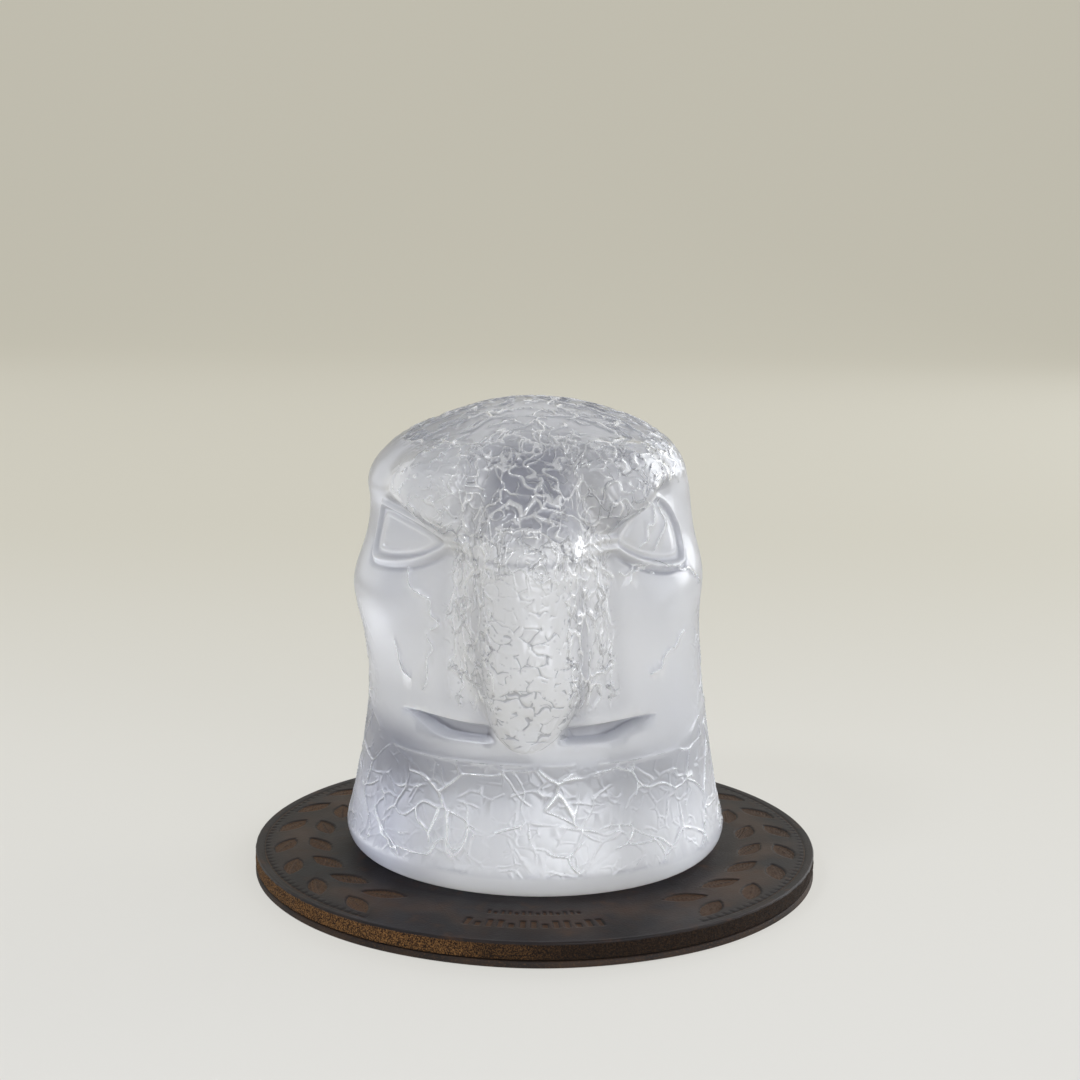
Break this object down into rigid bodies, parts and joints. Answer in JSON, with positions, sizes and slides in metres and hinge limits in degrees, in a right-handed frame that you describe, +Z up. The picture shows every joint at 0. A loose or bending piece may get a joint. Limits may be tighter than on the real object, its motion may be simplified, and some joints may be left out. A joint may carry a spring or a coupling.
{
  "type": "glass eagle sculpture",
  "caption": "Solid satin glass sculpture of an eagle's head with a hooked beak and crackled relief, standing on a round stamped leather base.",
  "frame": {"origin": "centre of the leather base's underside", "axes": "+Z up through the crown of the head; the beak points along -Y; +X is the bird's left"},
  "size_m": [0.12, 0.12, 0.1008],
  "materials": {
    "satin_glass": "solid colourless glass, acid-satin surface with raised crackle veins, polished foot band",
    "waxed_leather": "dark brown waxed pull-up leather, blind stamped, raw fuzzy brown edge",
    "leather_lining": "thin brown lining leather, flesh side down, raw cut edge"
  },
  "bodies": {
    "root": {"glass_eagle_head": "satin_glass", "leather_base_top": "waxed_leather", "leather_base_lining": "leather_lining"}
  },
  "joints": []
}
